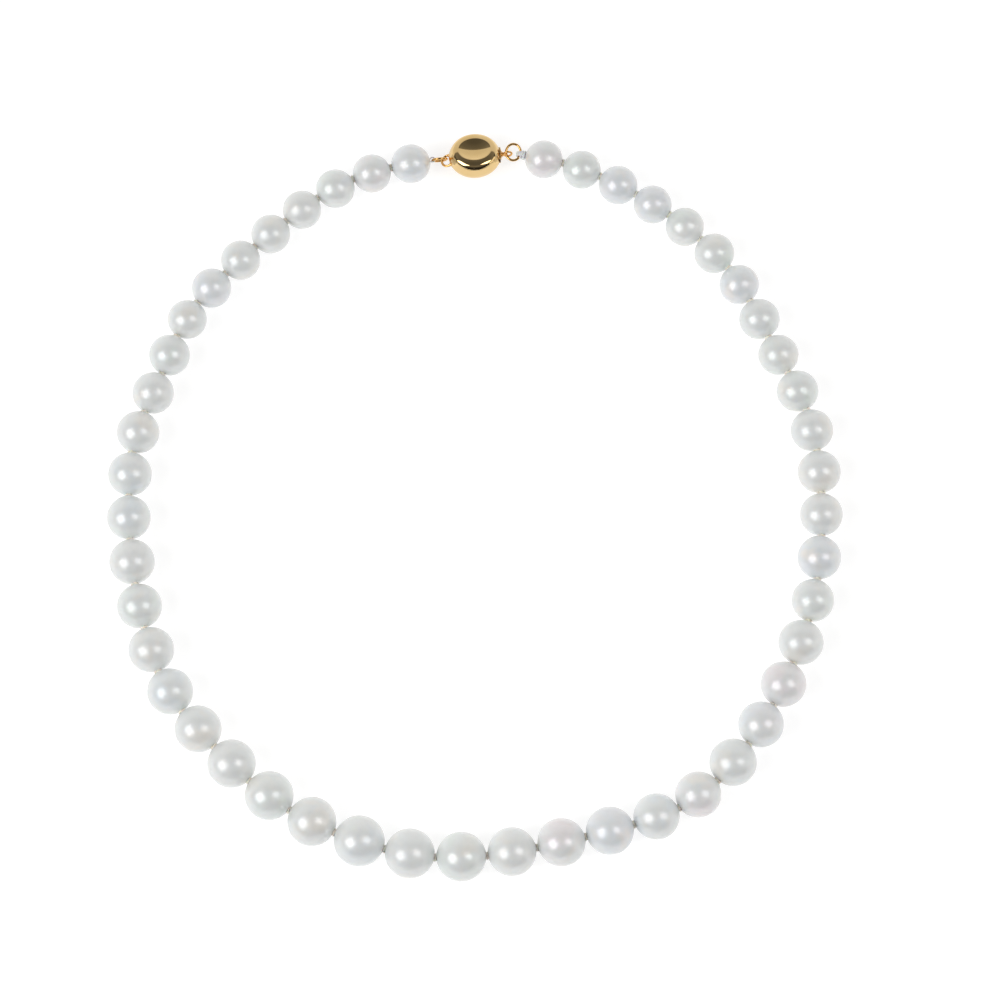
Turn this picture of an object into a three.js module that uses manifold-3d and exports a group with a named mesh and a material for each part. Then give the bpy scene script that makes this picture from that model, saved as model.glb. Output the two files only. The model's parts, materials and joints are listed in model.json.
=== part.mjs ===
// Princess-length necklace: one strand of graduated round pearls, knotted on silk between every pearl and closed by a
// hollow oval gold box clasp with a dished face. Millimetres, +Z up. The strand lies on the plane z = 0 as a closed,
// slightly egg-shaped loop. Its centre front is towards -Y, its clasp towards +Y, and pearl_01 is on the clasp's -X side.
import * as THREE from 'three';
import { mergeVertices } from 'three/addons/utils/BufferGeometryUtils.js';
import Module from 'manifold-3d';

const wasm = await Module();
wasm.setup();

// ---- driving dimensions, mm and degrees ----
const KNOT_GAP = 0.30; // pearl to pearl along the silk
const HOLE_R = 0.60; // drill hole
const PEARL_SIDES = 12; // facets round a pearl's drill axis
const PEARL_BANDS = 7; // facets from one drill mouth to the other
const THREAD_R = 0.25;
const KNOT_R = 0.85;
const KNOT_T = 0.18;

// [x, y, radius, heading of the drill axis] of each pearl, from pearl_01 beside the clasp, round the loop to pearl_48.
// A pearl's centre stands one radius above the plane.
const PEARLS = [
  [-13.177, 71.744, 4.04, -168.580], [-21.173, 69.647, 3.94, -161.946],
  [-28.624, 66.290, 3.98, -149.608], [-35.417, 61.675, 3.95, -141.987],
  [-41.731, 56.374, 4.00, -138.008], [-47.795, 50.665, 4.03, -135.456],
  [-53.597, 44.624, 4.05, -132.236], [-58.406, 37.881, 3.99, -118.666],
  [-61.842, 30.201, 4.15, -109.702], [-64.937, 22.093, 4.23, -112.068],
  [-67.771, 13.746, 4.30, -105.489], [-69.170, 4.922, 4.39, -92.658],
  [-69.162, -4.188, 4.43, -87.260], [-68.312, -13.400, 4.53, -82.249],
  [-66.596, -22.538, 4.48, -76.453], [-64.045, -31.494, 4.54, -71.779],
  [-60.131, -40.008, 4.59, -58.918], [-54.462, -47.625, 4.65, -47.829],
  [-47.744, -54.631, 4.76, -44.610], [-40.267, -61.037, 4.81, -36.605],
  [-31.857, -66.229, 4.81, -26.779], [-22.551, -70.117, 5.00, -18.717],
  [-12.691, -72.592, 4.90, -9.381], [-2.663, -73.223, 4.90, 2.182],
  [7.245, -72.208, 4.78, 9.606], [16.880, -70.329, 4.74, 12.484],
  [26.376, -68.038, 4.73, 14.637], [35.500, -65.158, 4.55, 20.511],
  [43.740, -60.781, 4.56, 35.425], [50.687, -54.342, 4.69, 50.023],
  [56.326, -46.672, 4.55, 57.450], [60.924, -38.513, 4.53, 63.753],
  [64.588, -29.968, 4.48, 69.863], [67.166, -21.302, 4.28, 77.162],
  [68.664, -12.482, 4.38, 83.487], [69.298, -3.523, 4.31, 88.454],
  [69.099, 5.404, 4.33, 94.092], [67.847, 14.183, 4.26, 102.203],
  [65.144, 22.489, 4.22, 113.905], [61.469, 30.272, 4.09, 116.693],
  [57.768, 37.934, 4.12, 114.870], [53.817, 45.390, 4.03, 121.039],
  [48.858, 52.139, 4.08, 131.513], [42.928, 57.942, 3.94, 139.872],
  [36.417, 62.840, 3.92, 146.236], [29.388, 67.064, 3.99, 151.715],
  [21.941, 70.481, 3.92, 159.053], [14.177, 72.773, 3.90, 168.072]
];

// clasp: a frame on the strand's axis, x from pearl_01 towards pearl_48
const CLASP_X = -0.0440;
const CLASP_Y = 73.4875;
const CLASP_Z = 3.90; // height of the strand's axis through the clasp
const CLASP_HEADING = 3.955;
const CLASP_ROLL = -11.5; // about its own axis, its dished face leaning to +Y
const CASE_L = 10.8;
const CASE_W = 9.56;
const CASE_DEPTH = 3.85; // below its widest line
// above its widest line, from the middle outwards: an almost flat band, a soft shoulder and a steep side
const CASE_CROWN = [[4.78, 0], [4.52, 1.08], [4.30, 1.62], [4.10, 2.00], [3.85, 2.26], [3.50, 2.44], [2.60, 2.64], [0, 2.85]];
const CASE_WALL = 0.5;
const CASE_SEAM = 0.12; // between the two halves
const DISH_R = [5.66, 4.23, 2.95]; // ellipsoid that hollows the crown, leaving a dish 6.6 long and 5.0 wide
const DISH_Z = 5.0; // its centre above the strand's axis
const SLOT_W = 3.9; // mouth in the end of the case for the tongue
const SLOT_H = 2.0;
const LEAF_T = 0.28; // strip the tongue is folded from
const LEAF_W = 3.2;
const FOLD_X = -2.6; // its folded tip, inside the case
const CAP_X = 5.42; // broad face of the end cap
const CAP_R = 1.25;
const NECK_R = 0.55;
const CAP_L = 0.32;
const WIRE_R = 0.25; // rings
const EYE_L_R = 1.25; // centre line of the case's ring
const EYE_L_AT = [-5.60, -0.45, -0.40];
const EYE_L_DROOP = 20; // its free end hangs
const EYE_R_R = 0.80; // centre line of the end cap's ring
const EYE_R_X = 6.80;
const EYE_R_WIRE = 0.20;
const RING_L_R = 1.48; // centre line of the jump ring beside pearl_01
const RING_L_DROP = 0.30; // its middle below the silk loop
const RING_L_LEAN = 12; // its top towards -Y
const RING_R_R = 1.69; // centre line of the oval jump ring beside pearl_48, across the strand
const RING_R_A = 1.49; // and along it
const RING_R_SIDE = 0.45; // its middle towards +Y of the strand
const RING_R_LEAN = 12; // its +Y side up
const GIMP_L_R = 0.20; // coiled wire sleeve over the silk loop
const GIMP_R_R = 0.28;

// where the links of the chain bear on each other, from pearl_01's silk loop to pearl_48's
const LOOP_L = [-8.7270, 72.6425];
const LOOP_L_HEADING = 5.5; // of the ring that hangs there
const EYE_R = [6.4405, 73.9355];
const LOOP_R = [9.3120, 73.8005];

// ---- finishes ----
const pearl = new THREE.MeshStandardMaterial({ color: 0xeee9e2, roughness: 0.22, metalness: 0 });
const gold = new THREE.MeshStandardMaterial({ color: 0xd9b36a, roughness: 0.18, metalness: 1 });
const silk = new THREE.MeshStandardMaterial({ color: 0xece4d6, roughness: 0.8, metalness: 0 });
const gimp = new THREE.MeshStandardMaterial({ color: 0xd8d2c6, roughness: 0.5, metalness: 0.3 });

const root = new THREE.Group();
const deg = THREE.MathUtils.degToRad;

function add(name, geometry, material, parent = root) {
  const mesh = new THREE.Mesh(geometry, material);
  mesh.name = name;
  parent.add(mesh);
  return mesh;
}

// ---- solids that are cut or joined ----
function solid(geometry) {
  const g = geometry.clone();
  for (const key of Object.keys(g.attributes)) if (key !== 'position') g.deleteAttribute(key);
  const m = mergeVertices(g, 1e-5);
  return new wasm.Manifold(new wasm.Mesh({
    numProp: 3,
    vertProperties: new Float32Array(m.attributes.position.array),
    triVerts: new Uint32Array(m.index.array),
  }));
}

function geometryOf(manifold) {
  const mesh = manifold.getMesh();
  const g = new THREE.BufferGeometry();
  const step = mesh.numProp;
  const xyz = new Float32Array(mesh.vertProperties.length / step * 3);
  for (let i = 0; i < xyz.length / 3; i++) for (let k = 0; k < 3; k++) xyz[3 * i + k] = mesh.vertProperties[step * i + k];
  g.setAttribute('position', new THREE.BufferAttribute(xyz, 3));
  g.setIndex(new THREE.BufferAttribute(new Uint32Array(mesh.triVerts), 1));
  g.computeVertexNormals();
  return g;
}

function box(lx, ly, lz, x = 0, y = 0, z = 0) {
  return new THREE.BoxGeometry(lx, ly, lz).translate(x, y, z);
}

// ---- pearls ----
// Turned about the drill axis. The middle band is a true flat at one radius from the axis, so a pearl stands on a facet.
function pearlGeometry(r) {
  const mouth = Math.asin(HOLE_R / r);
  const band = (Math.PI - 2 * mouth) / PEARL_BANDS;
  const around = r / (Math.cos(band / 2) * Math.cos(Math.PI / PEARL_SIDES));
  const bore = HOLE_R / Math.cos(Math.PI / PEARL_SIDES);
  const points = [];
  for (let i = 0; i <= PEARL_BANDS; i++) {
    const a = mouth + i * band;
    const rim = i === 0 || i === PEARL_BANDS;
    points.push(new THREE.Vector2(rim ? bore : around * Math.sin(a), -r * Math.cos(a)));
  }
  points.push(points[0].clone());
  return new THREE.LatheGeometry(points, PEARL_SIDES, Math.PI / PEARL_SIDES).rotateZ(-Math.PI / 2);
}

PEARLS.forEach(([x, y, r, heading], i) => {
  const mesh = add(`pearl_${String(i + 1).padStart(2, '0')}`, pearlGeometry(r), pearl);
  mesh.position.set(x, y, r);
  mesh.rotation.z = deg(heading);
});

// ---- silk ----
const centres = PEARLS.map(([x, y, r]) => new THREE.Vector3(x, y, r));
const headings = PEARLS.map((p) => new THREE.Vector3(Math.cos(deg(p[3])), Math.sin(deg(p[3])), 0));
const knots = centres.slice(0, -1).map((c, i) => {
  const k = c.clone().addScaledVector(headings[i], PEARLS[i][2] + KNOT_GAP / 2);
  k.z = (PEARLS[i][2] + PEARLS[i + 1][2]) / 2;
  return k;
});
const SILK_END = 1.4; // how far inside the end pearls the single silk starts
const route = [centres[0].clone().addScaledVector(headings[0], SILK_END - PEARLS[0][2])];
centres.forEach((c, i) => {
  route.push(c);
  if (i < knots.length) route.push(knots[i]);
});
route.push(centres[47].clone().addScaledVector(headings[47], PEARLS[47][2] - SILK_END));

function tube(path, radius, sides, steps) {
  const section = new THREE.Shape();
  for (let i = 0; i < sides; i++) {
    const a = 2 * Math.PI * i / sides;
    if (i) section.lineTo(radius * Math.cos(a), radius * Math.sin(a));
    else section.moveTo(radius, 0);
  }
  section.closePath();
  return new THREE.ExtrudeGeometry(section, { steps, bevelEnabled: false, extrudePath: path });
}

let strand = solid(tube(new THREE.CatmullRomCurve3(route, false, 'centripetal'), THREAD_R, 5, 97));
knots.forEach((k, i) => {
  const along = headings[i].clone().add(headings[i + 1]).normalize();
  const disc = new THREE.CylinderGeometry(KNOT_R, KNOT_R, KNOT_T, 6).rotateZ(-Math.PI / 2);
  disc.rotateZ(Math.atan2(along.y, along.x)).translate(k.x, k.y, k.z);
  strand = strand.add(solid(disc));
});
add('silk_thread', geometryOf(strand), silk);

// ---- silk loops over the jump rings, each in its sleeve of coiled wire ----
// Drawn from a pearl's drill mouth at x = 0 round the ring's wire at x = reach and back, flat in the plane y.
function loopCurve(inside, side, reach, bend) {
  const turn = 5;
  const points = [[-inside, side], [-inside / 2, side], [0, side]];
  for (let i = 0; i <= turn; i++) {
    const a = deg(115 - 230 * i / turn);
    points.push([reach + bend * Math.cos(a), bend * Math.sin(a)]);
  }
  points.push([0, -side], [-inside / 2, -side], [-inside, -side]);
  return points;
}

function sleeve(name, points, radius, mouth, heading, upright) {
  const u = new THREE.Vector3(Math.cos(heading), Math.sin(heading), 0);
  const v = upright ? new THREE.Vector3(0, 0, 1) : new THREE.Vector3(-u.y, u.x, 0);
  const curve = new THREE.CatmullRomCurve3(points.map(([a, b]) => mouth.clone().addScaledVector(u, a).addScaledVector(v, b)), false, 'centripetal');
  add(name, tube(curve, radius, 6, 18), gimp);
}

const reachL = new THREE.Vector2(...LOOP_L).distanceTo(new THREE.Vector2(PEARLS[0][0], PEARLS[0][1])) - PEARLS[0][2];
const reachR = new THREE.Vector2(...LOOP_R).distanceTo(new THREE.Vector2(PEARLS[47][0], PEARLS[47][1])) - PEARLS[47][2];
sleeve('gimp_left', loopCurve(0.9, 0.29, reachL, WIRE_R + GIMP_L_R + 0.16), GIMP_L_R,
  centres[0].clone().addScaledVector(headings[0], -PEARLS[0][2]), deg(PEARLS[0][3] + 180), false);
sleeve('gimp_right', loopCurve(0.9, 0.30, reachR, WIRE_R + GIMP_R_R + 0.12), GIMP_R_R,
  centres[47].clone().addScaledVector(headings[47], PEARLS[47][2]), deg(PEARLS[47][3]), true);

// ---- rings ----
function ring(centreLine, wire, sides = 6, around = 14) {
  const profile = [];
  for (let i = 0; i <= sides; i++) {
    const a = 2 * Math.PI * (i % sides) / sides;
    profile.push(new THREE.Vector2(centreLine + wire * Math.cos(a), wire * Math.sin(a)));
  }
  return new THREE.LatheGeometry(profile, around);
}

const ringL = add('jump_ring_left', ring(RING_L_R, WIRE_R), gold);
const runL = Math.sqrt(RING_L_R ** 2 - RING_L_DROP ** 2);
ringL.position.set(LOOP_L[0] + runL * Math.cos(deg(LOOP_L_HEADING)), LOOP_L[1] + runL * Math.sin(deg(LOOP_L_HEADING)), CLASP_Z - RING_L_DROP);
ringL.rotation.set(deg(RING_L_LEAN), 0, deg(LOOP_L_HEADING), 'ZYX');

const headingR = Math.atan2(LOOP_R[1] - EYE_R[1], LOOP_R[0] - EYE_R[0]);
const ringR = add('jump_ring_right', ring(RING_R_R, WIRE_R).rotateX(Math.PI / 2).scale(RING_R_A / RING_R_R, 1, 1), gold);
const sideR = RING_R_SIDE * Math.cos(deg(RING_R_LEAN));
ringR.position.set((EYE_R[0] + LOOP_R[0]) / 2 - sideR * Math.sin(headingR), (EYE_R[1] + LOOP_R[1]) / 2 + sideR * Math.cos(headingR),
  CLASP_Z + RING_R_SIDE * Math.sin(deg(RING_R_LEAN)));
ringR.rotation.set(deg(RING_R_LEAN), 0, headingR, 'ZYX');

// ---- clasp ----
const claspAxis = new THREE.Group();
claspAxis.position.set(CLASP_X, CLASP_Y, CLASP_Z);
claspAxis.rotation.z = deg(CLASP_HEADING);
const clasp = new THREE.Group();
clasp.rotation.x = deg(CLASP_ROLL);
claspAxis.add(clasp);
root.add(claspAxis);

function ellipsoid(rx, ry, rz, z = 0, around = 22, rows = 12) {
  return solid(new THREE.SphereGeometry(1, around, rows).rotateX(Math.PI / 2).scale(rx, ry, rz).translate(0, 0, z));
}

// the case without its hollows: a deep oval bowl under a low shouldered crown
function hull(grow = 1) {
  const points = [];
  for (let i = 0; i < 6; i++) points.push(new THREE.Vector2(CASE_W / 2 * Math.sin(deg(15 * i)), -CASE_DEPTH * Math.cos(deg(15 * i))));
  for (const [r, z] of CASE_CROWN) points.push(new THREE.Vector2(r, z));
  return solid(new THREE.LatheGeometry(points, 24).rotateX(Math.PI / 2).scale(grow * CASE_L / CASE_W, grow, grow));
}

// hollow, its crown dished and its floor one wall below the dish, with a mouth for the tongue at its +x end
const dish = ellipsoid(DISH_R[0], DISH_R[1], DISH_R[2], DISH_Z);
const underDish = ellipsoid(DISH_R[0] + CASE_WALL, DISH_R[1] + CASE_WALL, DISH_R[2] + CASE_WALL, DISH_Z, 16, 8);
const cavity = ellipsoid(CASE_L / 2 - CASE_WALL, CASE_W / 2 - CASE_WALL, CASE_DEPTH - CASE_WALL, 0, 16, 8).subtract(underDish);
const shell = hull().subtract(dish).subtract(cavity)
  .subtract(solid(box(3, SLOT_W, SLOT_H, CASE_L / 2 - 0.2)));
const half = (side) => shell.intersect(solid(box(20, 20, 10, 0, 0, side * (5 + CASE_SEAM / 2))));
add('clasp_case_top', geometryOf(half(1)), gold, clasp);
add('clasp_case_base', geometryOf(half(-1)), gold, clasp);

// the case's ring: a bow of wire whose two ends meet the case
const bow = ring(EYE_L_R, WIRE_R).rotateX(Math.PI / 2).rotateY(-deg(EYE_L_DROOP)).translate(...EYE_L_AT);
add('clasp_case_eyelet', geometryOf(solid(bow).subtract(hull(1.006))), gold, clasp);

// the tongue: one strip folded at its tip, its upper leaf springing against the inside of the case's end wall
add('clasp_tongue', box(CAP_X - 0.15 - FOLD_X, LEAF_W, LEAF_T, (CAP_X - 0.15 + FOLD_X) / 2, 0, -0.61), gold, clasp);
const leaf = new THREE.Shape([
  [-2.45, -0.38], [3.40, 1.12], [3.40, 0.44], [5.35, 0.36], [5.35, 0.64], [3.68, 0.71], [3.68, 1.42], [3.33, 1.41], [-2.52, -0.11],
].map(([x, z]) => new THREE.Vector2(x, z)));
const leafGeometry = new THREE.ExtrudeGeometry(leaf, { depth: LEAF_W - 0.4, bevelEnabled: false, steps: 1 })
  .translate(0, 0, -(LEAF_W - 0.4) / 2).rotateX(Math.PI / 2);
add('clasp_release_leaf', leafGeometry, gold, clasp);

// end cap: a cone from its broad face to its neck, with the ring the jump ring hangs in
const cone = [[0, 0], [CAP_R, 0], [CAP_R - 0.06, 0.08], [NECK_R + 0.12, 0.24], [NECK_R, CAP_L], [0, CAP_L]]
  .map(([r, x]) => new THREE.Vector2(r, x));
const cap = add('clasp_end_cap', new THREE.LatheGeometry(cone, 16).rotateZ(-Math.PI / 2), gold, clasp);
cap.position.x = CAP_X;
const eyeR = add('clasp_end_eyelet', ring(EYE_R_R, EYE_R_WIRE), gold, clasp);
eyeR.position.x = EYE_R_X;

export default root;
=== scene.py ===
import math
import random

import bmesh
import bpy
import numpy as np
from mathutils import Matrix, Vector, noise
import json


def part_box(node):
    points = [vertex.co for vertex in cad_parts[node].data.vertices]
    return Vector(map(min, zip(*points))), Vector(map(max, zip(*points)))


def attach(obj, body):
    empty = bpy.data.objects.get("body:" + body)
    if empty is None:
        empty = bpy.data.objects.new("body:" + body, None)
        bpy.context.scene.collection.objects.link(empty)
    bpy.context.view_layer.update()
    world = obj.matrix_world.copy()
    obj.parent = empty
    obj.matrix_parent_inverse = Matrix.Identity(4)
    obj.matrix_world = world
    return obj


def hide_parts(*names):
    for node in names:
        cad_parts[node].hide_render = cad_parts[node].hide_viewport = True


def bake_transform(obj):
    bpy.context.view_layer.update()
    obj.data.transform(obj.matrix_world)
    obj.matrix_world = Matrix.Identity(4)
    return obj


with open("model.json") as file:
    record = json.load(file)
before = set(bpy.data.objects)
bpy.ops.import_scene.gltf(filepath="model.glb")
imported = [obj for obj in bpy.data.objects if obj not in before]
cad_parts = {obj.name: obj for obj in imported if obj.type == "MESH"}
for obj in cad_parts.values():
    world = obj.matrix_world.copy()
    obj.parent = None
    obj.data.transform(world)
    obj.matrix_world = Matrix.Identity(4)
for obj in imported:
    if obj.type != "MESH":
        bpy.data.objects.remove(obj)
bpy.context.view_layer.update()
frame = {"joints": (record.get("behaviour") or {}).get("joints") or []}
MM = 0.001
JOINTS = {j["name"]: j for j in frame["joints"]}
rng = random.Random(48)
scene = bpy.context.scene

# ------------------------------------------------------------------ camera
TILT = math.radians(16.6)  # from straight down, leaning to the centre front
DISTANCE = 0.800
TARGET = Vector((0.000151, -0.000881, 0.0))
camera_data = bpy.data.cameras.new("camera")
camera_data.sensor_width = 36.0
camera_data.lens = 143.1
camera_data.shift_x = 0.0243
camera_data.shift_y = 0.0080
camera_data.clip_start = 0.01
camera_data.clip_end = 20
camera_data.dof.use_dof = False
camera = bpy.data.objects.new("camera", camera_data)
scene.collection.objects.link(camera)
camera.location = TARGET + Vector((0, -math.sin(TILT), math.cos(TILT))) * DISTANCE
camera.rotation_euler = (TILT, 0, 0)
scene.camera = camera
scene.view_settings.view_transform = "Standard"
scene.view_settings.look = "None"


# ------------------------------------------------------------------ node helpers
class Tree:
    def __init__(self, material):
        material.use_nodes = True
        self.t = material.node_tree
        self.t.nodes.clear()
        self.out = self.t.nodes.new("ShaderNodeOutputMaterial")
        self.p = self.t.nodes.new("ShaderNodeBsdfPrincipled")
        self.t.links.new(self.p.outputs[0], self.out.inputs[0])
        self.co = self.t.nodes.new("ShaderNodeTexCoord")

    def link(self, a, b):
        self.t.links.new(a, b)

    def noise(self, scale, detail=3.0, rough=0.55, distortion=0.0, vector=None):
        n = self.t.nodes.new("ShaderNodeTexNoise")
        n.inputs["Scale"].default_value = scale
        n.inputs["Detail"].default_value = detail
        n.inputs["Roughness"].default_value = rough
        n.inputs["Distortion"].default_value = distortion
        self.link(vector or self.co.outputs["Object"], n.inputs["Vector"])
        return n.outputs["Fac"]

    def voronoi(self, scale, feature="F1", vector=None, random_=1.0):
        n = self.t.nodes.new("ShaderNodeTexVoronoi")
        n.feature = feature
        n.inputs["Scale"].default_value = scale
        n.inputs["Randomness"].default_value = random_
        self.link(vector or self.co.outputs["Object"], n.inputs["Vector"])
        return n.outputs["Distance"]

    def ramp(self, value, stops, interpolation="LINEAR"):
        n = self.t.nodes.new("ShaderNodeValToRGB")
        n.color_ramp.interpolation = interpolation
        e = n.color_ramp.elements
        while len(e) > len(stops):
            e.remove(e[-1])
        while len(e) < len(stops):
            e.new(1.0)
        for el, (at, c) in zip(e, stops):
            el.position = at
            el.color = (c[0], c[1], c[2], 1.0) if isinstance(c, (tuple, list)) else (c, c, c, 1.0)
        self.link(value, n.inputs["Fac"])
        return n.outputs["Color"]

    def span(self, value, lo, hi, a=0.0, b=1.0):
        n = self.t.nodes.new("ShaderNodeMapRange")
        for k, v in zip(("From Min", "From Max", "To Min", "To Max"), (a, b, lo, hi)):
            n.inputs[k].default_value = v
        self.link(value, n.inputs["Value"])
        return n.outputs["Result"]

    def math(self, op, a, b=None):
        n = self.t.nodes.new("ShaderNodeMath")
        n.operation = op
        for i, v in enumerate((a, b)):
            if v is None:
                continue
            if isinstance(v, (int, float)):
                n.inputs[i].default_value = v
            else:
                self.link(v, n.inputs[i])
        return n.outputs[0]

    def mix(self, fac, a, b, blend="MIX"):
        n = self.t.nodes.new("ShaderNodeMix")
        n.data_type = "RGBA"
        n.blend_type = blend
        for key, v in ((0, fac), (6, a), (7, b)):
            if isinstance(v, (int, float)):
                n.inputs[key].default_value = v
            elif isinstance(v, (tuple, list)):
                n.inputs[key].default_value = (*v, 1.0)
            else:
                self.link(v, n.inputs[key])
        return n.outputs[2]

    def bump(self, height, strength, distance):
        n = self.t.nodes.new("ShaderNodeBump")
        n.inputs["Strength"].default_value = strength
        n.inputs["Distance"].default_value = distance
        self.link(height, n.inputs["Height"])
        self.link(n.outputs[0], self.p.inputs["Normal"])
        return n


def pearl_material(name, a, b, c, roughness, tint, seed):
    """Nacre: three overtones drifting over the pearl, fine orange-peel relief and a few growth marks under a soft lustre."""
    m = bpy.data.materials.new(name)
    t = Tree(m)
    shift = t.t.nodes.new("ShaderNodeMapping")
    shift.inputs["Location"].default_value = (seed * 0.013, seed * 0.007, seed * 0.011)
    t.link(t.co.outputs["Object"], shift.inputs["Vector"])
    v = shift.outputs["Vector"]
    drift = t.noise(170.0, 2.0, 0.5, 0.4, v)
    colour = t.ramp(drift, [(0.30, a), (0.52, b), (0.72, c)], "EASE")
    cloud = t.noise(620.0, 4.0, 0.6, 1.2, v)
    colour = t.mix(t.span(cloud, 0.0, 0.40, 0.45, 0.80), colour, tuple(x * 0.92 for x in b))
    speck = t.voronoi(260.0, "F1", v)
    colour = t.mix(t.span(speck, 0.14, 0.0, 0.0, 0.050), colour, (0.55, 0.51, 0.45))
    t.link(colour, t.p.inputs["Base Color"])
    fine = t.noise(2600.0, 3.0, 0.6, 0.0, v)
    t.link(t.span(t.noise(430.0, 3.0, 0.55, 0.0, v), roughness - 0.03, roughness + 0.04, 0.35, 0.65), t.p.inputs["Roughness"])
    relief = t.math("ADD", t.math("MULTIPLY", fine, 0.30), t.math("MULTIPLY", t.noise(700.0, 2.0, 0.5, 0.0, v), 0.70))
    t.bump(relief, 0.07, 0.00005)
    # the lustre takes a faint rosy, green or bluish overtone in patches
    t.link(t.mix(t.span(t.noise(120.0, 1.0, 0.5, 0.0, v), 0.0, 1.0, 0.38, 0.62), tint[0], tint[1]), t.p.inputs["Specular Tint"])
    t.p.inputs["IOR"].default_value = 1.78
    t.p.inputs["Specular IOR Level"].default_value = 0.95
    t.p.inputs["Subsurface Weight"].default_value = 0.18
    t.p.inputs["Subsurface Radius"].default_value = (1.0, 0.80, 0.62)
    t.p.inputs["Subsurface Scale"].default_value = 0.0007
    t.p.inputs["Coat Weight"].default_value = 0.75
    t.p.inputs["Coat Roughness"].default_value = 0.21
    t.p.inputs["Coat IOR"].default_value = 1.6
    t.p.inputs["Sheen Weight"].default_value = 0.30
    t.p.inputs["Sheen Roughness"].default_value = 0.40
    t.p.inputs["Sheen Tint"].default_value = (1.0, 0.985, 0.95, 1.0)
    return m


IVORY, ROSE, GREEN, SILVER, BLUE = (0.81, 0.795, 0.755), (0.805, 0.775, 0.78), (0.755, 0.80, 0.77), (0.77, 0.79, 0.785), (0.745, 0.79, 0.815)
PLAIN, PINK, SEA, SKY = (1.0, 1.0, 1.0), (1.0, 0.90, 0.97), (0.90, 1.0, 0.96), (0.90, 0.97, 1.0)
PEARL_MATERIALS = [
    pearl_material("nacre_ivory", IVORY, SILVER, SILVER, 0.41, (PLAIN, SKY), 1),
    pearl_material("nacre_rose", ROSE, SILVER, IVORY, 0.39, (PINK, SKY), 2),
    pearl_material("nacre_green", GREEN, SILVER, IVORY, 0.38, (SEA, SKY), 3),
    pearl_material("nacre_silver", SILVER, BLUE, IVORY, 0.41, (PLAIN, PINK), 4),
    pearl_material("nacre_blue", BLUE, SILVER, GREEN, 0.40, (SKY, PLAIN), 5),
    pearl_material("nacre_cream", IVORY, SILVER, GREEN, 0.42, (PLAIN, SEA), 6),
]


def gold_material(name, base, deep, roughness, scratch):
    m = bpy.data.materials.new(name)
    t = Tree(m)
    wide = t.noise(260.0, 3.0, 0.55)
    colour = t.mix(t.span(wide, 0.0, 1.0, 0.35, 0.70), base, deep)
    t.link(colour, t.p.inputs["Base Color"])
    # hairlines from polishing, long in one direction
    stretch = t.t.nodes.new("ShaderNodeMapping")
    stretch.inputs["Rotation"].default_value = (0.3, 0.5, 0.8)
    stretch.inputs["Scale"].default_value = (900.0, 14000.0, 6000.0)
    t.link(t.co.outputs["Object"], stretch.inputs["Vector"])
    hair = t.noise(1.0, 2.0, 0.5, 0.0, stretch.outputs["Vector"])
    t.link(t.span(t.math("ADD", t.math("MULTIPLY", hair, 0.6), t.math("MULTIPLY", wide, 0.4)), roughness * 0.6, roughness * 1.7, 0.3, 0.7), t.p.inputs["Roughness"])
    t.bump(hair, scratch, 0.000004)
    t.p.inputs["Metallic"].default_value = 1.0
    return m


GOLD = gold_material("gold_polished", (0.79, 0.575, 0.285), (0.75, 0.53, 0.24), 0.050, 0.20)
GOLD_WIRE = gold_material("gold_wire", (0.80, 0.50, 0.19), (0.70, 0.38, 0.11), 0.09, 0.30)
# darker, rougher gold for the inside of the case, its mouth and the tongue leaves: the rough finish is the unpolished
# metal, the darker colour is painted shade for places inside the case
GOLD_INSIDE_SHADED = gold_material("gold_inside_shaded", (0.70, 0.47, 0.20), (0.55, 0.34, 0.13), 0.26, 0.5)


def silk_material(name, light, dark, twist, rough, metallic=0.0):
    """Twisted thread: fibres seen as fine light and dark flecks, with fuzz that catches the light at its edges."""
    m = bpy.data.materials.new(name)
    t = Tree(m)
    flecks = t.noise(twist, 3.0, 0.65, 0.6)
    colour = t.ramp(flecks, [(0.32, dark), (0.66, light)])
    t.link(colour, t.p.inputs["Base Color"])
    t.link(t.span(flecks, rough - 0.12, rough + 0.1, 0.3, 0.7), t.p.inputs["Roughness"])
    t.bump(flecks, 0.5, 0.00005)
    t.p.inputs["Sheen Weight"].default_value = 0.35
    t.p.inputs["Sheen Roughness"].default_value = 0.45
    t.p.inputs["Subsurface Weight"].default_value = 0.15
    t.p.inputs["Subsurface Scale"].default_value = 0.0004
    t.p.inputs["Metallic"].default_value = metallic
    return m


SILK = silk_material("silk_ivory", (0.98, 0.93, 0.83), (0.94, 0.85, 0.71), 5200.0, 0.80)
SLEEVE = silk_material("sleeve_white", (0.86, 0.87, 0.87), (0.66, 0.67, 0.68), 4200.0, 0.40, 0.05)


# ------------------------------------------------------------------ mesh helpers
def mesh_object(name, verts, faces, material, smooth=True):
    me = bpy.data.meshes.new(name)
    me.from_pydata([tuple(v) for v in verts], [], [tuple(f) for f in faces])
    me.validate()
    if smooth:
        me.polygons.foreach_set("use_smooth", [True] * len(me.polygons))
    me.materials.append(material)
    me.update()
    ob = bpy.data.objects.new(name, me)
    scene.collection.objects.link(ob)
    return ob


def lattice(rows, cols, wrap_rows=False, wrap_cols=True, flip=False):
    """Quads over a rows x cols grid of vertices, numbered row by row."""
    faces = []
    for i in range(rows if wrap_rows else rows - 1):
        for j in range(cols if wrap_cols else cols - 1):
            a, b = i * cols + j, i * cols + (j + 1) % cols
            c, d = ((i + 1) % rows) * cols + (j + 1) % cols, ((i + 1) % rows) * cols + j
            faces.append((d, c, b, a) if flip else (a, b, c, d))
    return faces


def outward(ob):
    """Turns the faces of a closed mesh outwards."""
    bm = bmesh.new()
    bm.from_mesh(ob.data)
    bmesh.ops.recalc_face_normals(bm, faces=bm.faces)
    bm.to_mesh(ob.data)
    bm.free()
    return ob


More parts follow.
